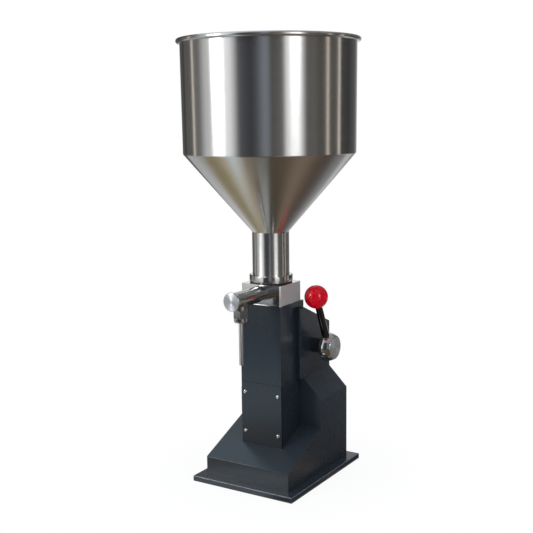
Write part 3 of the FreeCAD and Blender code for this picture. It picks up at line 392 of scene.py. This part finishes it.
# Drawn stainless whose lengthwise streaks run from dark to light: drawing grain, with painted reflection
# streaks in its colour.
DRAWN_WITH_PAINTED_STREAKS = metal(
    "drawn_stainless_painted_streaks", (0.24, 0.24, 0.23), (0.84, 0.84, 0.83), (0.16, 0.26), (300, 300, 8),
    bump=0.1,
)
GROUND = metal(
    "ground_stainless", (0.50, 0.53, 0.52), (0.63, 0.66, 0.65), (0.44, 0.56), (40, 40, 1800),
    bump=0.15, metallic=0.65,
)
SATIN = metal(
    "satin_stainless", (0.62, 0.62, 0.61), (0.76, 0.76, 0.75), (0.30, 0.38), (900, 900, 40),
    bump=0.05,
)
CHROME = metal("chrome", (0.66, 0.67, 0.69), (0.72, 0.73, 0.75), (0.04, 0.08), (30, 30, 30))
DARK_CHROME = metal("dark_chrome", (0.07, 0.08, 0.085), (0.11, 0.12, 0.125), (0.12, 0.18), (30, 30, 30))
MACHINED = metal("machined_steel", (0.36, 0.36, 0.37), (0.48, 0.48, 0.49), (0.28, 0.42), (300, 300, 300))
SPRING = metal("spring_steel", (0.26, 0.26, 0.27), (0.36, 0.36, 0.37), (0.25, 0.35), (300, 300, 300))
SCREW = metal("screw_steel", (0.58, 0.58, 0.57), (0.72, 0.72, 0.71), (0.18, 0.28), (300, 300, 300))
BRONZE = metal("bronze", (0.44, 0.28, 0.10), (0.58, 0.40, 0.18), (0.30, 0.45), (600, 600, 600))
PAINT = coated("dark_paint", (0.012, 0.017, 0.023), (0.015, 0.021, 0.028), (0.22, 0.28), 900, 0.01)
# A lighter copy of the dark paint for the lower stand: painted light that makes it brighter than the
# column.
PAINT_WITH_PAINTED_LIGHT = coated("lighter_paint_painted_light", (0.017, 0.023, 0.030), (0.021, 0.029, 0.037), (0.22, 0.28), 900, 0.01)
# Lighter, glossier paint on the eased edges of the base plate and base housing: a painted highlight along
# those edges.
PAINTED_EDGE_HIGHLIGHT = coated(
    "painted_edge_highlight", (0.090, 0.105, 0.120), (0.120, 0.135, 0.150), (0.15, 0.22), 900, 0.03,
    specular=1.0,
)
# Near-black for the eased edges and narrow sides of the front cover: a painted shadow where the gap round
# the cover lies in shade.
PAINTED_SEAM_SHADOW = coated(
    "painted_seam_shadow", (0.003, 0.004, 0.005), (0.005, 0.006, 0.008), (0.5, 0.6), 900, 0.05,
    specular=0.2,
)
BLACK_STEEL = coated("black_steel", (0.010, 0.010, 0.011), (0.016, 0.016, 0.018), (0.30, 0.42), 700, 0.08)
RED = coated(
    "red_plastic", (0.54, 0.0, 0.010), (0.58, 0.001, 0.013), (0.10, 0.13), 60, 0.01,
    specular=0.45,
)
RUBBER = coated("seal_rubber", (0.010, 0.010, 0.010), (0.018, 0.018, 0.018), (0.55, 0.70), 800, 0.2)
WHITE = coated("seat_plastic", (0.68, 0.68, 0.65), (0.78, 0.78, 0.75), (0.35, 0.45), 400, 0.05)

SLOT_MATERIAL = {
    "dark_paint": PAINT,
    "black_steel": BLACK_STEEL,
    "screw_steel": SCREW,
    "machined_steel": MACHINED,
    "brushed_stainless": BRUSHED,
    "polished_stainless": POLISHED,
    "chrome": CHROME,
    "spring_steel": SPRING,
    "bronze": BRONZE,
    "seal_rubber": RUBBER,
    "seat_plastic": WHITE,
    "red_plastic": RED,
}

for part in frame["record"]["subparts"]:
    paint(NODES[part["node"]], SLOT_MATERIAL[part["material_slot"]])


# Painted stand and valve block: the solids themselves, with eased edges

# The base plate and base housing take the lighter copy of the dark paint: painted light on the lower
# stand.
for node in ("base_plate", "base_housing"):
    paint(NODES[node], PAINT_WITH_PAINTED_LIGHT)

# The edge materials are painted light: a painted highlight on the base plate and base housing, a painted
# shadow round the front cover.
for node, width, edge_highlight_and_shadow in (
    ("base_plate", 1.2, PAINTED_EDGE_HIGHLIGHT),
    ("base_housing", 1.2, PAINTED_EDGE_HIGHLIGHT),
    ("column_housing", 0.8, None),
    ("front_cover", 0.7, PAINTED_SEAM_SHADOW),
    ("hood", 0.8, None),
    ("rear_cover", 0.5, None),
    ("valve_block", 0.6, None),
):
    eased(node, width * MM, edge_highlight_and_shadow)

# The narrow sides of the front cover get the same near-black as its eased edges: a painted shadow for the
# gap round the cover.
paint_second(NODES["front_cover"], lambda face: abs(face.normal.y) < SIDEWAYS)

# The valve block is polished in front, on top and below, and ground on its sides and back
NODES["valve_block"].data.materials.append(GROUND)
paint_second(NODES["valve_block"], lambda face: abs(face.normal.x) > FACING or face.normal.y > FACING)


# Turned pieces, with the sizes in millimetres of the solids that they stand for

PUMP_AXIS = Vector((0, -18, 0)) * MM
NOZZLE_AXIS = Vector((0, -117, 0)) * MM
TUBE_HEIGHT = 340.9
TUBE_END = Vector((0, -140.5, TUBE_HEIGHT)) * MM
TUBE_LENGTH = 87
SHAFT = Vector((0, 54, 231)) * MM
LEVER_LEAN = math.radians(24.2)
LEVER = Vector((0, -math.sin(LEVER_LEAN), math.cos(LEVER_LEAN)))
LEVER_FOOT = Vector((76.6, 54, 231)) * MM
ROD_SHOULDER = 24.6
BALL_DISTANCE = 110
CUT_PAST = 1


def make_hopper():
    wall, inner_rise = 1.2, 0.45
    neck, flange, drum = 32.8, 33.8, 150.8
    foot, flange_top, cone_foot, cone_top = 368, 369.5, 447.5, 584.5
    bead_centre, bead_radius, bead_start = (155, 776), 4, -134.4
    outline = [(neck - wall, foot), (flange, foot), (flange, flange_top), (neck, flange_top)]
    outline += [(neck, cone_foot), (drum, cone_top)]
    outline += arc(bead_centre, bead_radius, bead_start, 180, steps=30)
    outline += [(drum - wall, cone_top + inner_rise), (neck - wall, cone_foot + inner_rise)]
    outline += [(neck - wall, foot)]
    sheet = spun("hopper_sheet", outline, PUMP_AXIS, UP, soft=1.2, turns=240)
    shown(sheet, "stand", "hopper", BRUSHED)


def make_collar():
    radius, bore, neck_bore = 38.5, 34.05, 32.85
    foot, ledge, top = 358.8, 369.6, 371.3
    chamfer, soft = 0.8, 2
    outline = [(bore, foot), (radius - chamfer, foot), (radius, foot + chamfer)]
    outline += arc((radius - soft, top - soft), soft, 0, 90, steps=8)
    outline += [(neck_bore, top), (neck_bore, ledge), (bore, ledge), (bore, foot)]
    shown(spun("collar_ring", outline, PUMP_AXIS, UP), "stand", "hopper_collar", TURNED)


def make_discharge_tube():
    radius, bore = 14.2, 9
    spigot_radius, spigot_bore, spigot_end = 10, 7.5, 99
    boss_radius, boss_foot = 13.2, 323
    thread_radius, thread_foot, outlet_radius = 10, 314, 5
    tube_form = stepped(0, (radius, TUBE_LENGTH), (spigot_radius, spigot_end))
    boss_form = stepped(thread_foot, (thread_radius, boss_foot), (boss_radius, TUBE_HEIGHT))
    bore_form = stepped(-CUT_PAST, (bore, TUBE_LENGTH), (spigot_bore, spigot_end + CUT_PAST))
    tube = spun("tube_body", tube_form, TUBE_END, BACK)
    boss = spun("tube_boss", boss_form, NOZZLE_AXIS, UP)
    hollow = spun("tube_bore", bore_form, TUBE_END, BACK, soft=0)
    outlet = cutter("boss_bore", outlet_radius, thread_foot - CUT_PAST, TUBE_HEIGHT, NOZZLE_AXIS, UP)
    shown(worked(tube, [boss], [hollow, outlet]), "stand", "discharge_tube", DRAWN_WITH_PAINTED_STREAKS)


def make_end_cap():
    radius, plug_radius = 16.3, 8.95
    plug_end, seat, face, soft = -8, 0.8, 5, 1.4
    outline = [(0, plug_end), (plug_radius, plug_end), (plug_radius, seat), (radius, seat)]
    outline += arc((radius - soft, face - soft), soft, 0, 90, steps=8) + [(0, face)]
    shown(spun("cap_disc", outline, TUBE_END, FRONT), "stand", "tube_end_cap", TURNED, TURNED_FACE)


def make_nozzle():
    tip, shank_foot, flange_foot, flange_top = 226.5, 300.9, 311, 313
    bore, radius, shank_radius, flange_radius = 3, 4, 3.8, 9.4
    outline = stepped(
        tip, (radius, shank_foot), (shank_radius, flange_foot), (flange_radius, flange_top), bore=bore
    )
    pipe = spun("nozzle_pipe", outline, NOZZLE_AXIS, UP, soft=0.2, turns=64)
    shown(pipe, "stand", "nozzle_tube", SATIN)


def make_shaft_boss():
    radius, bore, inner_end, outer_end = 13, 10.065, 30, 69.8
    outline = stepped(inner_end, (radius, outer_end), bore=bore)
    shown(spun("boss_sleeve", outline, SHAFT, RIGHT), "stand", "shaft_boss_right", BLACK_STEEL)


def make_hub():
    """Barrel with a socket for the shaft in its inner end and a hole for the rod."""
    inner_end, socket_end, outer_end = 70.1, 84, 91
    socket, rod_seat, rod_hole, screw_hole = 8.025, 7.2, 5.05, 3.05
    rod_hole_foot, past_barrel = 12.1, 50
    bulge, bulge_place, bulge_sunk = 31, 74, 5
    outline = [(0, socket_end), (socket, socket_end), (socket, inner_end)]
    for place in (inner_end, bulge_place, 78, 82, 86.3, outer_end):
        outline.append((math.sqrt(bulge ** 2 - (place - bulge_place) ** 2) - bulge_sunk, place))
    outline.append((0, outer_end))
    hub = spun("hub_barrel", outline, SHAFT, RIGHT, soft=1.8)
    cuts = [
        cutter("rod_seat", rod_seat, ROD_SHOULDER, past_barrel, LEVER_FOOT, LEVER),
        cutter("rod_hole", rod_hole, rod_hole_foot, past_barrel, LEVER_FOOT, LEVER),
        cutter("screw_hole", screw_hole, 0, past_barrel, LEVER_FOOT, -Vector(UP)),
    ]
    shown(worked(hub, (), cuts), "lever", "lever_hub", CHROME, TURNED_FACE)


def make_lever_rod():
    foot, taper_end, tip = -12, 65.98, 80.98
    end_radius, wide, narrow = 5, 7, 6.3
    outline = [(0, foot), (end_radius, foot), (end_radius, 0), (wide, 0), (narrow, taper_end)]
    outline += [(end_radius, taper_end), (end_radius, tip), (0, tip)]
    shoulder = LEVER_FOOT + LEVER * ROD_SHOULDER * MM
    shown(spun("lever_taper", outline, shoulder, LEVER), "lever", "lever_rod", DARK_CHROME)


def make_ball():
    """Ball with a hole for the rod and a small flat round the hole."""
    radius, hole, hole_end = 21, 5.05, -3.92
    flat, flat_edge = -19.416, -67.6
    outline = [(0, hole_end), (hole, hole_end), (hole, flat)]
    outline += arc((0, 0), radius, flat_edge, 90, steps=60)
    middle = LEVER_FOOT + LEVER * BALL_DISTANCE * MM
    shown(spun("knob_ball", outline, middle, LEVER, soft=0.2), "lever", "ball_knob", RED)


def make_spring(node):
    """The solid's own coils, as a copy of its mesh that rides on the stand."""
    solid = NODES[node]
    coils = solid.copy()
    coils.data = solid.data.copy()
    coils.name = node + "_coils"
    bpy.context.scene.collection.objects.link(coils)
    shown(coils, "stand", node, SPRING)
    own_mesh(coils)


for node, joint, axis, fixed_end, travel in (
    ("return_spring", "piston_slide", UP, (0, -18, 119), 39.3),
    ("inlet_spring", "inlet_valve_slide", UP, (0, -18, 357), 5),
    ("outlet_spring", "outlet_valve_slide", BACK, (0, -95.3, TUBE_HEIGHT), 6.3),
):
    make_spring(node)

make_hopper()
make_collar()
make_discharge_tube()
make_end_cap()
make_nozzle()
make_shaft_boss()
make_hub()
make_lever_rod()
make_ball()


# Studio: two soft boxes in front, a white backdrop and floor, and toned cards that only the gloss shows

STUDIO_CENTRE = Vector((0, 0, 0.4))
BOX_DISTANCE = 3.2
AMBIENT = (0.62, 0.66, 0.72, 1)
AMBIENT_LEVEL = (0.1, 3.2)
WHITE_LIGHT = (1, 1, 1, 1)
FLOOR_SIZE = 24
FLOOR_COLOUR = (0.8, 0.8, 0.8, 1)
FLOOR_ROUGHNESS = 0.9
FLOOR_WHITE = (0.91, 1.0)
FLOOR_FADE = (0.17, 0.30)
CARD_STEP = 5
BENCH_HEIGHT = 0.002
WALL_START, WALL_DISTANCE, WALL_FOOT, WALL_TOP = 1.9, 4.5, 0.003, 4.5
UPPER_DISTANCE, UPPER_FOOT, UPPER_TOP = 4.4, 1.5, 4.4
CEILING_HOLE = 0.01
WARM_GREEN = 0.45


def direction(azimuth, elevation=0.0):
    """Unit vector for a compass direction in degrees: 0 is +X, 90 is +Y."""
    a, e = math.radians(azimuth), math.radians(elevation)
    return Vector((math.cos(a) * math.cos(e), math.sin(a) * math.cos(e), math.sin(e)))


def soft_box(name, azimuth, elevation, wide, high, energy):
    """Area lamp that covers an angle of wide by high degrees, seen from the object."""
    light = bpy.data.lights.new(name, "AREA")
    light.shape = "RECTANGLE"
    light.size = 2 * BOX_DISTANCE * math.tan(math.radians(wide / 2))
    light.size_y = 2 * BOX_DISTANCE * math.tan(math.radians(high / 2))
    light.energy = energy
    lamp = bpy.data.objects.new(name, light)
    bpy.context.scene.collection.objects.link(lamp)
    outward = direction(azimuth, elevation)
    lamp.location = STUDIO_CENTRE + outward * BOX_DISTANCE
    lamp.rotation_mode = "QUATERNION"
    lamp.rotation_quaternion = (-outward).to_track_quat("-Z", "Y")
    lamp.visible_camera = False


def card(name, profile, tones):
    """Card all round, through the (distance, height) points of its profile. Its tone runs evenly from
    each (compass direction, colour) to the next. Only reflections show it."""
    mesh = bmesh.new()
    layer = mesh.loops.layers.float_color.new("tone")
    for (start, first), (end, last) in zip(tones, tones[1:]):
        steps = max(1, round((end - start) / CARD_STEP))
        for step in range(steps):
            shares = (step / steps, (step + 1) / steps)
            ways = [direction(start + (end - start) * share) for share in shares]
            colours = [Vector(first).lerp(Vector(last), share) for share in shares]
            for (near, low), (far, high) in zip(profile, profile[1:]):
                corners = [(ways[0], colours[0], near, low), (ways[1], colours[1], near, low)]
                corners += [(ways[1], colours[1], far, high), (ways[0], colours[0], far, high)]
                points = [mesh.verts.new((way.x * away, way.y * away, z)) for way, _, away, z in corners]
                for loop, (_, colour, _, _) in zip(mesh.faces.new(points).loops, corners):
                    loop[layer] = (*colour, 1)
    panel = linked(name, mesh)
    material, nodes, links, _ = new_material(name)
    tone = nodes.new("ShaderNodeVertexColor")
    tone.layer_name = "tone"
    glow = nodes.new("ShaderNodeEmission")
    links.new(tone.outputs["Color"], glow.inputs["Color"])
    links.new(glow.outputs[0], nodes["Material Output"].inputs["Surface"])
    paint(panel, material)
    panel.visible_camera = False
    panel.visible_diffuse = False
    panel.visible_transmission = False
    panel.visible_shadow = False


def bench(near, far):
    """Profile of a card that lies just above the floor between two distances."""
    return ((near, BENCH_HEIGHT), (far, BENCH_HEIGHT))


def grey(tone, warm=0.0):
    """Colour of a card, with less green and blue where it is warm."""
    return (tone, tone * (1 - WARM_GREEN * warm), tone * (1 - warm))


def background_rays(nodes, links):
    """1 for rays from the camera and for reflected or refracted ones."""
    path = nodes.new("ShaderNodeLightPath").outputs
    direct = combined(nodes, links, "ADD", path["Is Camera Ray"], path["Is Glossy Ray"])
    return combined(nodes, links, "ADD", direct, path["Is Transmission Ray"], clamped=True)


def make_world():
    """White where it is seen, and a sky that is brighter above for the light on the object."""
    world = bpy.data.worlds.new("studio")
    bpy.context.scene.world = world
    world.use_nodes = True
    nodes, links = world.node_tree.nodes, world.node_tree.links
    nodes.clear()
    sky = nodes.new("ShaderNodeBackground")
    sky.inputs["Color"].default_value = AMBIENT
    place = nodes.new("ShaderNodeTexCoord")
    split = nodes.new("ShaderNodeSeparateXYZ")
    links.new(place.outputs["Generated"], split.inputs[0])
    height = split.outputs["Z"]
    level = mapped(nodes, links, combined(nodes, links, "MULTIPLY", height, height), *AMBIENT_LEVEL)
    links.new(level, sky.inputs["Strength"])
    white = nodes.new("ShaderNodeBackground")
    white.inputs["Color"].default_value = WHITE_LIGHT
    output = nodes.new("ShaderNodeOutputWorld")
    mixed(nodes, links, background_rays(nodes, links), sky.outputs[0], white.outputs[0], output)


def make_floor():
    """Pale floor that keeps the object's shadow and is white further out."""
    bpy.ops.mesh.primitive_plane_add(size=FLOOR_SIZE, location=(0, 0, 0))
    floor = bpy.context.active_object
    floor.name = "floor"
    material, nodes, links, shader = new_material("pale_floor")
    shader.inputs["Base Color"].default_value = FLOOR_COLOUR
    shader.inputs["Roughness"].default_value = FLOOR_ROUGHNESS
    place = nodes.new("ShaderNodeTexCoord")
    length = nodes.new("ShaderNodeVectorMath")
    length.operation = "LENGTH"
    links.new(place.outputs["Object"], length.inputs[0])
    fade = mapped(nodes, links, length.outputs["Value"], *FLOOR_WHITE, *FLOOR_FADE)
    glow = nodes.new("ShaderNodeEmission")
    glow.inputs["Color"].default_value = WHITE_LIGHT
    share = combined(nodes, links, "MULTIPLY", background_rays(nodes, links), fade)
    mixed(nodes, links, share, shader.outputs[0], glow.outputs[0], nodes["Material Output"])
    paint(floor, material)


def make_camera():
    yaw, pitch, roll = CAMERA_YAW, CAMERA_PITCH, CAMERA_ROLL
    ahead = Vector((-math.sin(yaw) * math.cos(pitch), math.cos(yaw) * math.cos(pitch), -math.sin(pitch)))
    right = Vector((math.cos(yaw), math.sin(yaw), 0))
    up = right.cross(ahead)
    tilted_right = right * math.cos(roll) + up * math.sin(roll)
    tilted_up = up * math.cos(roll) - right * math.sin(roll)
    data = bpy.data.cameras.new("camera")
    data.lens = CAMERA_LENS
    data.sensor_width = CAMERA_SENSOR
    data.clip_start, data.clip_end = CAMERA_RANGE
    camera = bpy.data.objects.new("camera", data)
    bpy.context.scene.collection.objects.link(camera)
    turn = Matrix((tilted_right, tilted_up, -ahead)).transposed().to_4x4()
    camera.matrix_world = Matrix.Translation(CAMERA_PLACE) @ turn
    bpy.context.scene.camera = camera


make_world()
make_floor()
soft_box("left_box", azimuth=-126, elevation=17, wide=16, high=20, energy=34)
soft_box("right_box", azimuth=-25, elevation=18, wide=12, high=13, energy=11)


# Tones of the cards, by compass direction. The bands of the hopper, the tube and the cone come from them.
# They are no neutral studio: a scratch script listed the photograph's colours along one row of the drum,
# one of the neck and three of the cone by mirror direction, and the tones were set by hand to those
# readings and then to comparisons with the render. They suit the photograph's camera.

SKY = (0.74, 0.90, 1.0)
COOL_WHITE = (0.92, 0.97, 1.0)
DIM_BLUE = (0.2, 0.35, 0.5)
TAN = (0.50, 0.40, 0.25)

WALL_TONES = [
    (96, grey(0.25)),
    (112, grey(0.6)),
    (121, grey(1.0)),
    (125, grey(1.0)),
    (127, grey(0.17)),
    (163, grey(0.045)),
    (165, grey(0.12, 0.1)),
    (186, grey(0.12, 0.1)),
    (187, grey(0.95, 0.2)),
    (190, grey(0.95, 0.2)),
    (191, grey(0.15, 0.1)),
    (203, grey(0.17)),
    (208, grey(0.4)),
    (214, grey(0.6)),
    (228, grey(0.65)),
    (241, grey(1.0)),
    (252, grey(1.0)),
    (261, grey(0.3)),
    (263, (0.08, 0.08, 0.09)),
    (280, (0.03, 0.03, 0.04)),
    (287, (0.08, 0.09, 0.10)),
    (296, (0.24, 0.26, 0.29)),
    (302, (0.20, 0.21, 0.23)),
    (304, grey(0.08, 0.1)),
    (319, grey(0.10, 0.1)),
    (324, grey(1.0)),
    (340, grey(1.0)),
    (346, grey(0.5)),
    (349, grey(0.10, 0.15)),
    (360, grey(0.14, 0.15)),
    (370, grey(0.08, 0.15)),
    (379, grey(0.10, 0.15)),
    (380, grey(0.9, 0.25)),
    (383, grey(0.9, 0.25)),
    (384, grey(0.09, 0.2)),
    (400, grey(0.12, 0.2)),
    (401, grey(1.0, 0.2)),
    (404, grey(1.0, 0.2)),
    (405, grey(0.045, 0.1)),
    (426, grey(0.035)),
    (431, grey(0.06)),
    (450, grey(0.12)),
    (456, grey(0.25)),
]
LEFT_TONES = [
    (90, grey(0.4)),
    (130, grey(0.8)),
    (165, grey(0.7)),
    (184, (0.25, 0.20, 0.10)),
    (194, (0.17, 0.13, 0.02)),
    (206, (0.28, 0.22, 0.11)),
]
RIGHT_START = (260, (0.16, 0.13, 0.09))
RIGHT_TONES = [
    (300, (0.10, 0.08, 0.05)),
    (342, (0.10, 0.07, 0.04)),
    (368, (0.25, 0.19, 0.14)),
    (392, (0.10, 0.06, 0.04)),
    (412, (0.07, 0.05, 0.04)),
    (428, grey(0.2)),
    (450, grey(0.4)),
]
MIDDLE_TONES = [
    (96, grey(0.5)),
    (160, grey(0.6)),
    (187, grey(0.3)),
    (195, grey(0.45, 0.1)),
    (220, grey(0.45, 0.1)),
    (230, DIM_BLUE),
    (248, DIM_BLUE),
    (262, grey(0.05)),
    (304, grey(0.06)),
    (314, grey(0.30, 0.1)),
    (338, grey(0.35, 0.1)),
    (346, grey(0.09)),
    (400, grey(0.08)),
    (410, grey(0.18)),
    (430, grey(0.18)),
    (456, grey(0.5)),
]
FAR_LEFT_TONES = [
    (96, grey(0.6)),
    (160, grey(0.5)),
    (187, grey(0.25)),
    (195, grey(0.45, 0.1)),
    (220, grey(0.45, 0.1)),
]
FAR_RIGHT_TONES = [
    (262, grey(0.04)),
    (304, grey(0.05)),
    (314, grey(0.30, 0.1)),
    (338, grey(0.35, 0.1)),
    (346, grey(0.09)),
    (400, grey(0.08)),
    (409, grey(0.5)),
    (430, grey(0.5)),
    (456, grey(0.6)),
]
FEET_TONES = LEFT_TONES + [(232, COOL_WHITE), (286, COOL_WHITE)] + RIGHT_TONES
NEAR_TONES = LEFT_TONES + [(220, TAN), (230, (0.48, 0.40, 0.27)), RIGHT_START] + RIGHT_TONES
LIT_TONES = LEFT_TONES + [(220, TAN), (232, SKY), (250, SKY), RIGHT_START] + RIGHT_TONES
FAR_TONES = FAR_LEFT_TONES + [(226, grey(0.05))] + FAR_RIGHT_TONES
EDGE_TONES = FAR_LEFT_TONES + [(226, grey(0.5)), (248, grey(0.5)), (254, grey(0.1))] + FAR_RIGHT_TONES
UPPER_TONES = [(400, grey(0.1)), (410, grey(0.2)), (440, grey(0.2)), (452, grey(0.1))]
CEILING_TONES = [
    (-90, grey(0.3)),
    (100, grey(0.3)),
    (125, SKY),
    (175, SKY),
    (200, grey(0.8)),
    (240, grey(0.8)),
    (270, grey(0.3)),
]

WALLS = ((WALL_START, WALL_FOOT), (WALL_DISTANCE, WALL_FOOT), (WALL_DISTANCE, WALL_TOP))
UPPER_WALL = ((UPPER_DISTANCE, UPPER_FOOT), (UPPER_DISTANCE, UPPER_TOP))
CEILING = ((WALL_DISTANCE, WALL_TOP), (CEILING_HOLE, WALL_TOP))

for name, profile, tones in (
    ("walls", WALLS, WALL_TONES),
    ("feet_bench", bench(0.02, 0.19), FEET_TONES),
    ("near_bench", bench(0.19, 0.38), NEAR_TONES),
    ("lit_bench", bench(0.38, 0.8), LIT_TONES),
    ("middle_bench", bench(0.8, 1.15), MIDDLE_TONES),
    ("far_bench", bench(1.15, 1.65), FAR_TONES),
    ("bench_edge", bench(1.65, WALL_START), EDGE_TONES),
    ("upper_wall", UPPER_WALL, UPPER_TONES),
    ("ceiling", CEILING, CEILING_TONES),
):
    card(name, profile, tones)

make_camera()
bpy.context.scene.view_settings.view_transform = "Standard"
